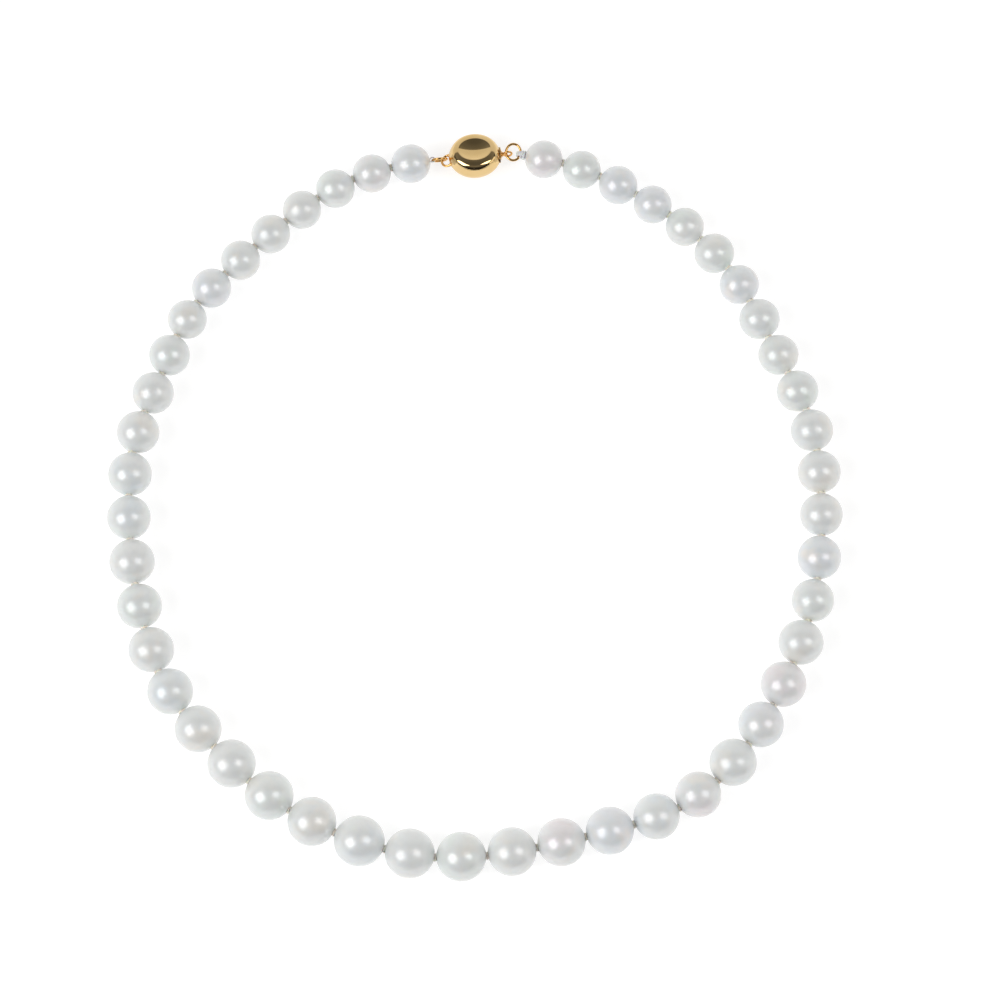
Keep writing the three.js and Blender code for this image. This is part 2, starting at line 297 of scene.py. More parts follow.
def frames_along(points, closed=False, up=Vector((0, 0, 1))):
    """Unit tangent and two normals at each point, carried along without twist."""
    n = len(points)
    tangents = []
    for i in range(n):
        a = points[(i - 1) % n] if closed or i else points[0]
        b = points[(i + 1) % n] if closed or i < n - 1 else points[-1]
        tangents.append((b - a).normalized())
    side = tangents[0].cross(up)
    if side.length < 1e-3:
        side = tangents[0].cross(Vector((1, 0, 0)))
    side.normalize()
    out = []
    for t in tangents:
        side = (side - t * side.dot(t)).normalized()
        out.append((t, side, t.cross(side)))
    return out


def smooth_path(points, count, closed=False):
    """count points on a Catmull-Rom curve through points."""
    pts = [Vector(p) for p in points]
    n = len(pts)
    segments = n if closed else n - 1
    out = []
    for k in range(count):
        u = k / (count if closed else count - 1) * segments
        i = min(int(u), segments - 1)
        f = u - i
        if closed:
            p0, p1, p2, p3 = (pts[(i + d) % n] for d in (-1, 0, 1, 2))
        else:
            p1, p2 = pts[i], pts[i + 1]
            p0 = pts[i - 1] if i else p1 + (p1 - p2)
            p3 = pts[i + 2] if i + 2 < n else p2 + (p2 - p1)
        out.append(0.5 * ((2 * p1) + (p2 - p0) * f + (2 * p0 - 5 * p1 + 4 * p2 - p3) * f * f + (3 * p1 - p0 - 3 * p2 + p3) * f ** 3))
    return out


def spaced_path(points, step):
    """The same path with points the same distance apart."""
    along = [0.0]
    for a, b in zip(points, points[1:]):
        along.append(along[-1] + (b - a).length)
    count = max(3, int(round(along[-1] / step)) + 1)
    out, i = [], 0
    for k in range(count):
        s = along[-1] * k / (count - 1)
        while i < len(points) - 2 and along[i + 1] < s:
            i += 1
        f = (s - along[i]) / max(along[i + 1] - along[i], 1e-12)
        out.append(points[i].lerp(points[i + 1], f))
    return out, along[-1]


def twisted_cord(path, radius, sides=20, strands=3, pitch=None, depth=0.16, radii=None, cap=True, closed=False):
    """Vertices and faces of a cord whose section has one lobe per strand and turns along its length."""
    fr = frames_along(path, closed)
    pitch = pitch or radius * 5
    verts, run = [], 0.0
    total = sum((b - a).length for a, b in zip(path, path[1:])) + ((path[0] - path[-1]).length if closed else 0)
    turns = total / pitch
    if closed:
        turns = round(turns * strands) / strands
    for i, (p, (t, s, w)) in enumerate(zip(path, fr)):
        if i:
            run += (p - path[i - 1]).length
        r = radii[i] if radii else radius
        twist = 2 * math.pi * turns * run / max(total, 1e-9)
        for k in range(sides):
            a = 2 * math.pi * k / sides
            lobe = abs(math.cos(strands * (a - twist) / 2.0))
            rr = r * (1 - depth + depth * lobe ** 0.7)
            verts.append(p + (s * math.cos(a) + w * math.sin(a)) * rr)
    faces = lattice(len(path), sides, wrap_rows=closed)
    if cap and not closed:
        for end, ring in ((0, range(sides)), (len(path) - 1, range((len(path) - 1) * sides, len(path) * sides))):
            verts.append(path[end].copy())
            c = len(verts) - 1
            ring = list(ring)
            faces += [(c, ring[k], ring[(k + 1) % sides]) for k in range(sides)]
    return verts, faces


def joined(parts):
    """One vertex and face list from several."""
    verts, faces = [], []
    for v, f in parts:
        o = len(verts)
        verts += list(v)
        faces += [tuple(i + o for i in face) for face in f]
    return verts, faces


# ------------------------------------------------------------------ where things are
N = 48
centre, radius = {}, {}
for i in range(1, N + 1):
    lo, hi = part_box(f"pearl_{i:02d}")
    centre[i] = (lo + hi) / 2
    radius[i] = (hi.z - lo.z) / 2
knot = {}
for name, j in JOINTS.items():
    if name.startswith("knot_"):
        knot[int(name[5:7])] = Vector(j["pos_m"])
knot[0] = Vector(JOINTS["ring_left_swing"]["pos_m"])
knot[48] = Vector(JOINTS["ring_right_tilt"]["pos_m"])
axis = {}
for i in range(1, N + 1):
    d = knot[i] - knot[i - 1]
    d.z = 0
    axis[i] = d.normalized()


def body(i):
    return f"pearl_{i:02d}"


# ------------------------------------------------------------------ pearls
HOLE = 0.00042  # radius that shows at the drill mouths
ROWS, COLS = 46, 72


def make_pearl(i):
    """A turned sphere with a softly broken drill mouth at each end, pulled a little out of round and dimpled by hand-like growth marks."""
    r, c, ax = radius[i], centre[i], axis[i]
    side = Vector((0, 0, 1)).cross(ax).normalized()
    up = ax.cross(side)
    seed = Vector((i * 3.71, i * 1.37, i * 2.19))
    local = random.Random(1000 + i)
    # out-of-round amounts: a gentle oval and a soft shoulder
    oval = 0.006 + 0.007 * local.random()
    lobe_at = local.random() * 6.28
    marks = [(Vector((local.gauss(0, 1), local.gauss(0, 1), local.gauss(0, 1))).normalized(), local.uniform(0.03, 0.09), local.uniform(-0.0065, -0.0015)) for _ in range(local.randint(3, 7))]
    marks += [(Vector((local.gauss(0, 1), local.gauss(0, 1), local.gauss(0, 1))).normalized(), local.uniform(0.25, 0.5), local.uniform(-0.005, 0.002)) for _ in range(3)]
    profile = []  # (along the drill axis, from the axis), from one mouth to the other and back through the bore
    mouth = math.asin(HOLE * 1.35 / r)
    for k in range(ROWS):
        a = mouth + (math.pi - 2 * mouth) * k / (ROWS - 1)
        profile.append((-r * math.cos(a), r * math.sin(a)))
    e = r * math.cos(mouth)
    bore = [(e - 0.00006, HOLE * 1.12), (e - 0.00018, HOLE), (e * 0.5, HOLE * 0.98), (-e * 0.5, HOLE * 0.98), (-e + 0.00018, HOLE), (-e + 0.00006, HOLE * 1.12)]
    verts = []
    for k, (u, w) in enumerate(profile + bore):
        for q in range(COLS):
            a = 2 * math.pi * q / COLS
            d = ax * u + (side * math.cos(a) + up * math.sin(a)) * w
            if k < ROWS:
                n = d.normalized()
                s = 1.0 + oval * (math.sin(2 * a + lobe_at) * (w / r) ** 2) * 0.5 - oval * 0.5
                s += 0.006 * (noise.noise(n * 1.6 + seed)) - 0.002
                for at, wide, deep in marks:
                    g = (n - at).length / wide
                    if g < 2.6:
                        s += deep * math.exp(-g * g * 1.5)
                ends = min(1.0, (abs(w) / r) / 0.5)
                s = 1 + (s - 1) * ends
                s = min(s, 1.004)
                d = ax * u * (1 + (s - 1)) + (side * math.cos(a) + up * math.sin(a)) * w * s
            verts.append(c + d)
    faces = lattice(ROWS + len(bore), COLS, wrap_rows=True)
    ob = mesh_object(f"pearl_{i:02d}_nacre", verts, faces, PEARL_MATERIALS[choice[i]])
    outward(ob)
    low = min(v.co.z for v in ob.data.vertices)
    if low < 0:  # keep it standing on the surface
        for v in ob.data.vertices:
            if v.co.z < 0:
                v.co.z *= 0.02
    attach(ob, body(i))
    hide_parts(f"pearl_{i:02d}")
    return ob


pick = random.Random(7)
choice = {i: pick.choice([0, 0, 1, 2, 3, 3, 4, 5]) for i in range(1, N + 1)}
for i in range(1, N + 1):
    make_pearl(i)


# ------------------------------------------------------------------ silk and knots
SILK_R = 0.00023


def silk_link(k):
    """The silk from the middle of one pearl to the middle of the next, and the knot drawn tight between them."""
    a, b, at = centre[k], centre[k + 1], knot[k]
    da, db = axis[k], axis[k + 1]
    t = (da + db).normalized()
    side = Vector((0, 0, 1)).cross(t).normalized()
    up = t.cross(side)
    local = random.Random(500 + k)
    path = smooth_path([a, a + da * radius[k] * 0.5, at - t * 0.0012, at, at + t * 0.0012, b - db * radius[k + 1] * 0.5, b], 64)
    parts = [twisted_cord(path, SILK_R, 12, 3, 0.0014, 0.14)]
    # an overhand knot: the thread goes twice round itself and through, pressed flat between the pearls
    turn = local.uniform(0, 6.28)
    pts = []
    for q in range(64):
        u = 2 * math.pi * q / 64
        rr = 0.00056 + 0.00013 * math.cos(3 * u)
        x = 0.000115 * math.sin(3 * u)
        ang = 2 * u + turn
        pts.append(at + t * x + (side * math.cos(ang) + up * math.sin(ang)) * rr)
    parts.append(twisted_cord(pts, 0.000165, 10, 3, 0.0011, 0.16, closed=True))
    v, f = joined(parts)
    ob = mesh_object(f"silk_{k:02d}_{k + 1:02d}", v, f, SILK)
    outward(ob)
    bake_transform(ob)
    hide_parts("silk_thread")
    return ob


for k in range(1, N):
    silk_link(k)


# ------------------------------------------------------------------ sleeved silk loops at the ends
def sleeve_loop(name, i, heading, reach, side, bend, thick, broad, coil, upright, node, wraps=()):
    """A loop of silk inside a sleeve of coiled wire, from the pearl's drill mouth round the ring and back, whipped together beside the pearl."""
    mouth = centre[i] + heading * radius[i]
    u = heading
    flat_side = Vector((-u.y, u.x, 0))
    v = Vector((0, 0, 1)) if upright else flat_side
    w_dir = flat_side if upright else Vector((0, 0, 1))
    pts = [(-0.0009, side * 0.9), (-0.0004, side * 0.9), (0.0, side)]
    for k in range(9):
        a = math.radians(112 - 224 * k / 8)
        pts.append((reach + bend * math.cos(a), bend * math.sin(a)))
    pts += [(0.0, -side), (-0.0004, -side * 0.9), (-0.0009, -side * 0.9)]
    path = smooth_path([mouth + u * a + v * b for a, b in pts], 240)
    path, length = spaced_path(path, coil / 9)
    fr = frames_along(path)
    verts, sides, run = [], 24, 0.0
    for q, (p, (t, s_, w_)) in enumerate(zip(path, fr)):
        if q:
            run += (p - path[q - 1]).length
        out = (p - mouth).dot(u)
        grow = min(1.0, max(0.0, (out + 0.00005) / 0.00035))
        grow = grow * grow * (3 - 2 * grow)
        wide = thick + (broad - thick) * grow
        inner = t.cross(w_dir).normalized()
        for k in range(sides):
            a = 2 * math.pi * k / sides
            wave = 0.5 + 0.5 * math.cos(2 * math.pi * run / coil - a)
            rr = 0.76 + 0.24 * wave ** 0.6
            verts.append(p + inner * (math.cos(a) * thick * rr) + w_dir * (math.sin(a) * wide * rr))
    faces = lattice(len(path), sides)
    for end, ring in ((0, list(range(sides))), (len(path) - 1, list(range((len(path) - 1) * sides, len(path) * sides)))):
        verts.append(path[end].copy())
        faces += [(len(verts) - 1, ring[k], ring[(k + 1) % sides]) for k in range(sides)]
    parts = [(verts, faces)]
    for at, ry, rz, wire, lean in wraps:  # turns of silk drawn tight round both strands
        pts = []
        for k in range(72):
            a = 2 * math.pi * k / 72
            pts.append(mouth + u * (at + lean * math.sin(a)) + v * (math.cos(a) * rz) + w_dir * (math.sin(a) * ry))
        parts.append(twisted_cord(pts, wire, 14, 3, wire * 6, 0.16, closed=True))
    v_, f_ = joined(parts)
    ob = mesh_object(name, v_, f_, SLEEVE)
    outward(ob)
    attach(ob, body(i))
    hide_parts(node)
    return ob


reach_left = (knot[0] - centre[1]).to_2d().length - radius[1]
reach_right = (knot[48] - centre[48]).to_2d().length - radius[48]
sleeve_loop("silk_loop_left", 1, -axis[1], reach_left, 0.00022, 0.00050, 0.00014, 0.00014, 0.00014, False, "gimp_left")
sleeve_loop("silk_loop_right", 48, axis[48], reach_right, 0.00030, 0.00062, 0.00027, 0.00056, 0.00046, True, "gimp_right",
            [(0.00022, 0.00082, 0.00074, 0.00021, 0.00007), (0.00058, 0.00078, 0.00072, 0.00020, -0.00006), (0.00092, 0.00066, 0.00068, 0.00018, 0.00005)])


# ------------------------------------------------------------------ rings
def wire_ring(name, centre_, normal, start, r, wire, material, body_name, nodes, gap_at=None, oval=1.0):
    """A ring bent from round wire, its ends closed by a fine butt joint."""
    n = normal.normalized()
    x = (start - n * start.dot(n)).normalized()
    y = n.cross(x)
    count, sides = 96, 20
    verts = []
    for k in range(count):
        a = 2 * math.pi * k / count
        p = centre_ + (x * math.cos(a) * oval + y * math.sin(a)) * r
        out = (x * math.cos(a) + y * math.sin(a)).normalized()
        w = wire
        if gap_at is not None:
            d = abs((a - gap_at + math.pi) % (2 * math.pi) - math.pi)
            w = wire * (1 - 0.16 * math.exp(-(d / 0.035) ** 2))
        for q in range(sides):
            b = 2 * math.pi * q / sides
            verts.append(p + (out * math.cos(b) + n * math.sin(b)) * w)
    ob = mesh_object(name, verts, lattice(count, sides, wrap_rows=True), material)
    outward(ob)
    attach(ob, body_name)
    if nodes:
        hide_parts(*nodes)
    return ob


A1, A4 = knot[0], knot[48]
A3 = Vector(JOINTS["clasp_tongue_swing"]["pos_m"])
RING_L_R, RING_L_DROP, RING_L_HEADING, RING_L_LEAN = 0.00148, 0.00030, math.radians(5.5), math.radians(12)
run_l = math.sqrt(RING_L_R ** 2 - RING_L_DROP ** 2)
dir_l = Vector((math.cos(RING_L_HEADING), math.sin(RING_L_HEADING), 0))
side_l = Vector((-dir_l.y, dir_l.x, 0))
normal_l = side_l * math.cos(RING_L_LEAN) + Vector((0, 0, 1)) * math.sin(RING_L_LEAN)
wire_ring("jump_ring_left_wire", A1 + dir_l * run_l - Vector((0, 0, RING_L_DROP)), normal_l, dir_l, RING_L_R, 0.00025, GOLD_WIRE, "jump_ring_left", ["jump_ring_left"], 2.2)

RING_R_R, RING_R_A, RING_R_SIDE, RING_R_LEAN = 0.00169, 0.00149, 0.00045, math.radians(12)
dir_r = (A4 - A3).normalized()
side_r = Vector((-dir_r.y, dir_r.x, 0))
across_r = side_r * math.cos(RING_R_LEAN) + Vector((0, 0, 1)) * math.sin(RING_R_LEAN)
wire_ring("jump_ring_right_wire", (A3 + A4) / 2 + across_r * RING_R_SIDE, dir_r.cross(across_r), dir_r, RING_R_R, 0.00026, GOLD_WIRE, "jump_ring_right", ["jump_ring_right"], 2.6, RING_R_A / RING_R_R)

# ------------------------------------------------------------------ clasp, in its own frame
HEADING = math.radians(3.955)
ROLL = math.radians(-11.5)
along = Vector((math.cos(HEADING), math.sin(HEADING), 0))
flat = Vector((0, 0, 1)).cross(along).normalized()
y_axis = flat * math.cos(ROLL) + Vector((0, 0, 1)) * math.sin(ROLL)
z_axis = along.cross(y_axis)
clasp_centre = Vector((-0.0000440, 0.0734875, 0.0039))
CLASP = Matrix((
    (along.x, y_axis.x, z_axis.x, clasp_centre.x),
    (along.y, y_axis.y, z_axis.y, clasp_centre.y),
    (along.z, y_axis.z, z_axis.z, clasp_centre.z),
    (0, 0, 0, 1),
))


def in_clasp(x, y, z):
    return CLASP @ Vector((x * MM, y * MM, z * MM))


def direction(x, y, z):
    return (CLASP.to_3x3() @ Vector((x, y, z))).normalized()


AX, AY, AZ = 5.40, 4.78, 3.85
CROWN = [(0, 2.85), (2.60, 2.64), (3.50, 2.44), (3.85, 2.26), (4.10, 2.00), (4.30, 1.62), (4.52, 1.08), (4.70, 0.45)]
DISH = (5.66, 4.23, 2.95, 5.00)


def side_profile(count):
    """The case's section from the middle of its crown to the middle of its bottom, as (from the axis, height), evenly spaced and smooth."""
    pts = [Vector((-r, z)) for r, z in reversed(CROWN[1:])] + [Vector(p) for p in CROWN]
    pts += [Vector((AY * math.cos(math.radians(a)), -AZ * math.sin(math.radians(a)))) for a in (1, 10, 20, 30, 45, 60, 75, 90, 105, 120)]
    dense = [Vector((p.x, p.y, 0)) for p in smooth_path([Vector((p.x, p.y, 0)) for p in pts], 2400)]
    dense, _ = spaced_path(dense, 0.01)
    for _ in range(260):
        dense = [dense[0]] + [(a + b * 2 + c) / 4 for a, b, c in zip(dense, dense[1:], dense[2:])] + [dense[-1]]
    i0 = min(range(len(dense)), key=lambda i: abs(dense[i].x) + (100 if dense[i].y < 0 else 0))
    i1 = min(range(len(dense)), key=lambda i: abs(dense[i].x) + (100 if dense[i].y > 0 else 0))
    dense = dense[i0:i1 + 1]
    line, _ = spaced_path(dense, sum((b - a).length for a, b in zip(dense, dense[1:])) / (count - 1))
    line[0].x = line[-1].x = 0.0
    return [(max(p.x, 0.0), p.y) for p in line]


def make_case():
    profile = side_profile(190)
    widest = max(r for r, z in profile)
    cols = 176
    rows = []
    for r, z in profile[1:-1]:
        ring = []
        for j in range(cols):
            phi = 2 * math.pi * j / cols
            x, y = AX * r / widest * math.cos(phi), AY * r / widest * math.sin(phi)
            h = z
            if z > 0:
                inside = 1 - (x / DISH[0]) ** 2 - (y / DISH[1]) ** 2
                if inside > 0:
                    dish = DISH[3] - DISH[2] * math.sqrt(inside)
                    soft = 0.11  # rounds the rim
                    k = max(soft - abs(z - dish), 0.0) / soft
                    h = min(z, dish) - k * k * soft * 0.25
            ring.append(in_clasp(x, y, h))
        rows.append(ring)
    verts = [in_clasp(0, 0, DISH[3] - DISH[2])] + [p for ring in rows for p in ring] + [in_clasp(0, 0, profile[-1][1])]
    faces = [(0, 1 + j, 1 + (j + 1) % cols) for j in range(cols)]
    for i in range(len(rows) - 1):
        for j in range(cols):
            a, b = 1 + i * cols + j, 1 + i * cols + (j + 1) % cols
            faces.append((a, a + cols, b + cols, b))
    last = 1 + (len(rows) - 1) * cols
    faces += [(len(verts) - 1, last + (j + 1) % cols, last + j) for j in range(cols)]
    ob = mesh_object("clasp_case_shell", verts, faces, GOLD)
    # second slot: the darker gold, painted shade, which the cut faces of the hollow and the mouth take
    ob.data.materials.append(GOLD_INSIDE_SHADED)
    outward(ob)
    # hollow it, and cut the mouth for the tongue in its end
    cut = mesh_object("cut_mouth", *superbox(CLASP, (3.5, 6.6), (-1.95, 1.95), (-1.0, 1.0), 0.30), GOLD_INSIDE_SHADED)
    outward(cut)
    inner = mesh_object("cut_inner", *ellipsoid_mesh(AX - 0.5, AY - 0.5, AZ - 0.5, 40, 64, under=True), GOLD_INSIDE_SHADED)
    outward(inner)
    for tool in (inner, cut):
        m = ob.modifiers.new("cut", "BOOLEAN")
        m.operation = "DIFFERENCE"
        m.object = tool
        m.solver = "EXACT"
        bpy.context.view_layer.update()
        dg = bpy.context.evaluated_depsgraph_get()
        me = bpy.data.meshes.new_from_object(ob.evaluated_get(dg))
        ob.modifiers.clear()
        ob.data = me
        bpy.data.objects.remove(tool)
    bm = bmesh.new()
    bm.from_mesh(ob.data)
    for edge in bm.edges:
        if len(edge.link_faces) == 2 and edge.calc_face_angle(0) > math.radians(28):
            edge.smooth = False
    bm.to_mesh(ob.data)
    bm.free()
    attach(ob, "clasp_case")
    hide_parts("clasp_case_top", "clasp_case_base")
    return ob


def ellipsoid_mesh(rx, ry, rz, rows, cols, under=False):
    """A closed egg; with under, its top is pushed down to stay one wall below the dish."""
    def point(a, phi):
        x, y, z = rx * math.sin(a) * math.cos(phi), ry * math.sin(a) * math.sin(phi), rz * math.cos(a)
        if under and z > 0:
            s = 1 - (x / (DISH[0] + 0.5)) ** 2 - (y / (DISH[1] + 0.5)) ** 2
            if s > 0:
                z = min(z, DISH[3] - (DISH[2] + 0.5) * math.sqrt(s))
        return in_clasp(x, y, z)
    verts = [point(0, 0)]
    for i in range(1, rows):
        for j in range(cols):
            verts.append(point(math.pi * i / rows, 2 * math.pi * j / cols))
    faces = [(0, 1 + j, 1 + (j + 1) % cols) for j in range(cols)]
    for i in range(rows - 2):
        for j in range(cols):
            a, b = 1 + i * cols + j, 1 + i * cols + (j + 1) % cols
            faces.append((a, a + cols, b + cols, b))
    verts.append(point(math.pi, 0))
    last = 1 + (rows - 2) * cols
    faces += [(len(verts) - 1, last + (j + 1) % cols, last + j) for j in range(cols)]
    return verts, faces


def superbox(matrix, xs, ys, zs, corner, n=10):
    """A bar along x whose section in y and z has rounded corners, in mm in the given frame."""
    section = []
    for cy, cz, a0 in ((ys[1], zs[1], 0), (ys[0], zs[1], 90), (ys[0], zs[0], 180), (ys[1], zs[0], 270)):
        for k in range(n + 1):
            a = math.radians(a0 + 90 * k / n)
            sy, sz = (1 if cy == ys[1] else -1), (1 if cz == zs[1] else -1)
            section.append((cy - sy * corner + corner * math.cos(a), cz - sz * corner + corner * math.sin(a)))
    m = len(section)
    verts = [matrix @ (Vector((x, y, z)) * MM) for x in xs for y, z in section]
    faces = lattice(2, m) + [tuple(range(m)), tuple(reversed(range(m, 2 * m)))]
    return verts, faces


case = make_case()


EYE_C, EYE_R, EYE_DROOP = (-5.60, -0.45, -0.40), 1.25, math.radians(20)


def bow_point(a, r=EYE_R):
    x, y = r * math.cos(a), r * math.sin(a)
    return in_clasp(EYE_C[0] + x * math.cos(EYE_DROOP), EYE_C[1] + y, EYE_C[2] + x * math.sin(EYE_DROOP))


def outside_case(p):
    q = CLASP.inverted() @ p / MM
    return (q.x / AX) ** 2 + (q.y / AY) ** 2 + (q.z / AZ) ** 2 > 0.93


# the case's ring: a bow of wire soldered to the case at both ends
angles = [math.radians(a) for a in range(40, 321, 2)]
bow = [bow_point(a) for a in angles]
bow = [p for p in bow if outside_case(p)]
bow_path, _ = spaced_path(bow, 0.00006)
bow_v, bow_f = twisted_cord(bow_path, 0.00025, 24, 1, 1.0, 0.0, radii=[0.00025 + 0.00012 * (math.exp(-(min(k, len(bow_path) - 1 - k) / 5.0) ** 2)) for k in range(len(bow_path))])
bow_ob = mesh_object("clasp_case_bow", bow_v, bow_f, GOLD_WIRE)
outward(bow_ob)
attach(bow_ob, "clasp_case")
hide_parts("clasp_case_eyelet")


def solder(name, at, toward, wide, tall, body_name):
    """A small mound of solder, uneven, standing at a point towards a direction."""
    t = toward.normalized()
    s_ = t.cross(Vector((0.3, 0.2, 1))).normalized()
    w = t.cross(s_)
    rows, cols_ = 14, 28
    verts = []
    for i in range(rows):
        a = math.pi * (i + 0.5) / rows
        for j in range(cols_):
            b = 2 * math.pi * j / cols_
            d = t * math.cos(a) * tall + (s_ * math.cos(b) + w * math.sin(b)) * math.sin(a) * wide
            verts.append(at + d * (1 + 0.16 * noise.noise(d * 2600 + at * 900)))
    faces = lattice(rows, cols_) + [tuple(reversed(range(cols_))), tuple(range((rows - 1) * cols_, rows * cols_))]
    ob = mesh_object(name, verts, faces, GOLD_WIRE)
    outward(ob)
    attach(ob, body_name)
    return ob


for tag, p, q in (("upper", bow_path[0], bow_path[1]), ("lower", bow_path[-1], bow_path[-2])):
    solder(f"clasp_case_solder_{tag}", p + (q - p).normalized() * 0.00006, q - p, 0.00042, 0.00026, "clasp_case")

# end cap: a flared bell against the case's mouth, narrowing to the neck that carries the end ring
cap_radii = [0.0, 0.60, 1.02, 1.18, 1.25, 1.27, 1.22, 1.10, 0.97, 0.86, 0.77, 0.70, 0.64, 0.60, 0.57, 0.55, 0.50, 0.0]
cap_x = [5.44, 5.43, 5.38, 5.34, 5.32, 5.35, 5.40, 5.435, 5.465, 5.495, 5.53, 5.565, 5.60, 5.64, 5.68, 5.73, 5.76, 5.765]


def turned(name, xs, rs, material, body_name, nodes, cols=64):
    verts, faces = [], []
    for x, r in zip(xs, rs):
        for j in range(cols):
            a = 2 * math.pi * j / cols
            verts.append(in_clasp(x, max(r, 1e-4) * math.cos(a), max(r, 1e-4) * math.sin(a)))
    faces = lattice(len(xs), cols)
    faces += [tuple(reversed(range(cols))), tuple(range((len(xs) - 1) * cols, len(xs) * cols))]
    ob = mesh_object(name, verts, faces, material)
    outward(ob)
    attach(ob, body_name)
    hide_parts(*nodes)
    return ob


turned("clasp_end_cap_turned", cap_x, cap_radii, GOLD_WIRE, "clasp_tongue", ["clasp_end_cap"])
wire_ring("clasp_end_ring", in_clasp(6.80, 0, 0), y_axis, along, 0.00080, 0.00021, GOLD_WIRE, "clasp_tongue", ["clasp_end_eyelet"], 0.9)
solder("clasp_end_solder", in_clasp(5.83, 0, 0), along, 0.00040, 0.00020, "clasp_tongue")


# tongue leaves
def strip(name, outline, width, corner, body_name, node):
    """A strip of sheet seen from its side as outline, in x and z, with its long edges eased."""
    n = len(outline)
    verts, faces = [], []
    cuts = [(-width / 2, 0.7), (-width / 2 + corner, 1.0), (width / 2 - corner, 1.0), (width / 2, 0.7)]
    mid = [(sum(p[0] for p in outline) / n, sum(p[1] for p in outline) / n)]
    for y, s in cuts:
        for k, (x, z) in enumerate(outline):
            other = outline[-1 - k] if len(outline) % 2 == 0 else outline[k]
            cx, cz = (x + other[0]) / 2, (z + other[1]) / 2
            verts.append(in_clasp(cx + (x - cx) * s, y, cz + (z - cz) * s))
    for r in range(len(cuts) - 1):
        for k in range(n):
            a, b = r * n + k, r * n + (k + 1) % n
            faces.append((a, b, b + n, a + n))
    faces += [tuple(reversed(range(n))), tuple(range((len(cuts) - 1) * n, len(cuts) * n))]
    # the leaves take the darker gold, painted shade for parts that sit inside the case
    ob = mesh_object(name, verts, faces, GOLD_INSIDE_SHADED, smooth=False)
    outward(ob)
    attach(ob, body_name)
    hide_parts(node)
    return ob


def thick_line(points, t):
    """A closed outline of thickness t about a line, with as many points on each side."""
    up, down = [], []
    for k, (x, z) in enumerate(points):
        a = points[max(k - 1, 0)]
        b = points[min(k + 1, len(points) - 1)]
        dx, dz = b[0] - a[0], b[1] - a[1]
        l = math.hypot(dx, dz)
        nx, nz = -dz / l, dx / l
        up.append((x + nx * t / 2, z + nz * t / 2))
        down.append((x - nx * t / 2, z - nz * t / 2))
    return up + down[::-1]


lower_line = [(-2.60 + 7.87 * k / 16, -0.61) for k in range(17)]
strip("clasp_tongue_lower_leaf", thick_line(lower_line, 0.27), 3.2, 0.06, "clasp_tongue", "clasp_tongue")
leaf_line = [(-2.46, -0.24), (-1.0, 0.14), (0.5, 0.53), (2.0, 0.91), (3.0, 1.17), (3.35, 1.26), (3.50, 1.22), (3.54, 1.05), (3.55, 0.85), (3.60, 0.64), (3.80, 0.56), (4.4, 0.53), (5.35, 0.50)]
leaf_path = smooth_path([Vector((x, 0, z)) for x, z in leaf_line], 60)
strip("clasp_spring_leaf", thick_line([(p.x, p.z) for p in leaf_path], 0.25), 2.8, 0.06, "release_leaf", "clasp_release_leaf")


# ------------------------------------------------------------------ floor, backdrop and lights
def stage_material(name, colour, glow):
    m = bpy.data.materials.new(name)
    t = Tree(m)
    grain = t.noise(40.0, 2.0, 0.5)
    t.link(t.mix(t.span(grain, 0.0, 0.02), (colour,) * 3, (colour * 0.96,) * 3), t.p.inputs["Base Color"])
    t.p.inputs["Roughness"].default_value = 0.9
    t.p.inputs["Specular IOR Level"].default_value = 0.0
    t.p.inputs["Emission Color"].default_value = (1.0, 1.0, 1.0, 1.0)
    t.p.inputs["Emission Strength"].default_value = glow
    return m


FLOOR = stage_material("stage_white", 0.42, 0.72)
floor_v, floor_f = [], []
cols = 64
rings = [0.0, 0.25, 0.5, 1.0, 2.0, 3.5]
for r in rings:
    for j in range(cols):
        a = 2 * math.pi * j / cols
        floor_v.append(Vector((r * math.cos(a), r * math.sin(a), 0.0)))
floor = mesh_object("stage_floor", floor_v, lattice(len(rings), cols), FLOOR)


def softbox(name, toward, distance, size, power, colour=(1, 1, 1)):
    """An area light seen from the origin in that direction, facing it."""
    d = Vector(toward).normalized()
    data = bpy.data.lights.new(name, "AREA")
    data.shape = "RECTANGLE"
    data.size, data.size_y = size
    data.energy = power
    data.color = colour
    ob = bpy.data.objects.new(name, data)
    scene.collection.objects.link(ob)
    ob.location = d * distance
    ob.rotation_euler = (-d).to_track_quat("-Z", "Y").to_euler()
    return ob


def towards(right_, up_, out_):
    """A world direction from its parts in the camera's frame."""
    d = Vector((1, 0, 0)) * right_ + Vector((0, math.cos(TILT), math.sin(TILT))) * up_ + Vector((0, -math.sin(TILT), math.cos(TILT))) * out_
    return d.normalized()


def radiance_watts(radiance, size):
    return radiance * math.pi * size[0] * size[1]


KEY, FILL, DOT, SIDE = (1.12, 1.12), (0.66, 0.95), (0.16, 0.16), (1.1, 1.1)
softbox("key_left", towards(-0.665, -0.12, 0.75), 1.6, KEY, radiance_watts(4.0, KEY))
softbox("fill_right", towards(0.56, 0.07, 0.82), 1.6, FILL, radiance_watts(3.5, FILL), (1.0, 0.985, 0.985))
softbox("dot_right", towards(0.98, 0.05, -0.20), 1.6, DOT, radiance_watts(9.0, DOT))
softbox("side_right", towards(0.96, -0.10, 0.20), 1.6, SIDE, radiance_watts(1.1, SIDE), (1.0, 0.965, 0.91))

# the room: a dark studio overhead and in front, and a white sweep rising behind
world = bpy.data.worlds.new("studio")
scene.world = world
world.use_nodes = True
wt = world.node_tree
wt.nodes.clear()


def wnode(kind, **values):
    n = wt.nodes.new(kind)
    for k, v in values.items():
        setattr(n, k, v)
    return n


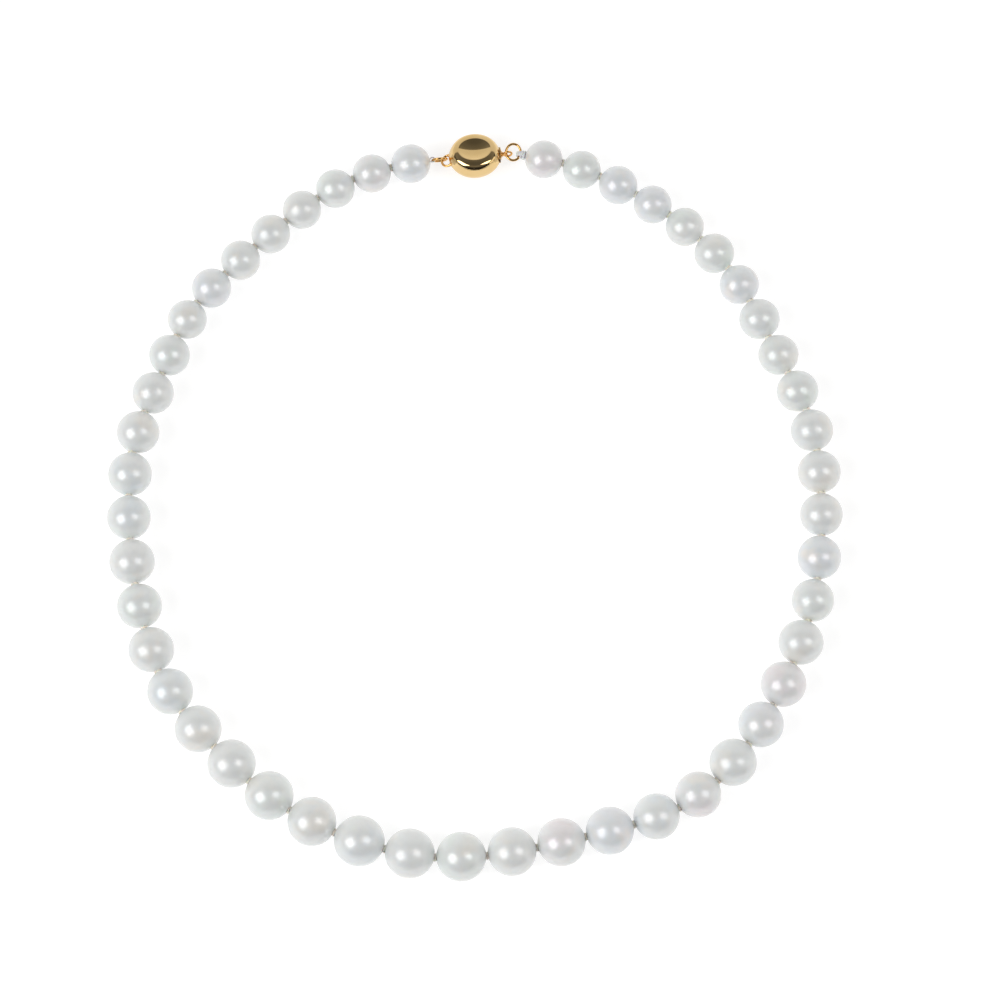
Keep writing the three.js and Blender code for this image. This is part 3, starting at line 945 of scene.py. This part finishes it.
def wramp(source, stops, interpolation="EASE"):
    n = wnode("ShaderNodeValToRGB")
    n.color_ramp.interpolation = interpolation
    e = n.color_ramp.elements
    while len(e) < len(stops):
        e.new(1.0)
    for el, (at, c) in zip(e, stops):
        el.position, el.color = at, (*c, 1)
    wt.links.new(source, n.inputs["Fac"])
    return n.outputs["Color"]


def wmath(op, a, b):
    n = wnode("ShaderNodeMath", operation=op)
    for i, v in enumerate((a, b)):
        if isinstance(v, float):
            n.inputs[i].default_value = v
        else:
            wt.links.new(v, n.inputs[i])
    return n.outputs[0]


coords = wnode("ShaderNodeTexCoord")
split = wnode("ShaderNodeSeparateXYZ")
wt.links.new(coords.outputs["Generated"], split.inputs[0])
dark = wramp(split.outputs["Z"], [(0.0, (0.020, 0.020, 0.020)), (0.30, (0.030, 0.030, 0.031)), (0.50, (0.11, 0.11, 0.11)), (0.68, (0.21, 0.208, 0.20)), (0.88, (0.14, 0.14, 0.14)), (1.0, (0.10, 0.10, 0.10))])
rise = wmath("SUBTRACT", wmath("MULTIPLY", split.outputs["Y"], 1.11), split.outputs["Z"])
edge = wnode("ShaderNodeMapRange")
edge.inputs["From Min"].default_value = -0.035
edge.inputs["From Max"].default_value = 0.035
wt.links.new(rise, edge.inputs["Value"])
sweep = wramp(split.outputs["Z"], [(0.0, (0.92, 0.91, 0.89)), (0.70, (0.76, 0.745, 0.72))])
blend_ = wnode("ShaderNodeMix", data_type="RGBA")
wt.links.new(edge.outputs["Result"], blend_.inputs[0])
wt.links.new(dark, blend_.inputs[6])
wt.links.new(sweep, blend_.inputs[7])
bg_light = wnode("ShaderNodeBackground")
wt.links.new(blend_.outputs[2], bg_light.inputs["Color"])
bg_seen = wnode("ShaderNodeBackground")
bg_seen.inputs["Color"].default_value = (0.94, 0.94, 0.94, 1)
path_node = wnode("ShaderNodeLightPath")
mixer = wnode("ShaderNodeMixShader")
wout = wnode("ShaderNodeOutputWorld")
wt.links.new(path_node.outputs["Is Camera Ray"], mixer.inputs[0])
wt.links.new(bg_light.outputs[0], mixer.inputs[1])
wt.links.new(bg_seen.outputs[0], mixer.inputs[2])
wt.links.new(mixer.outputs[0], wout.inputs[0])

import json
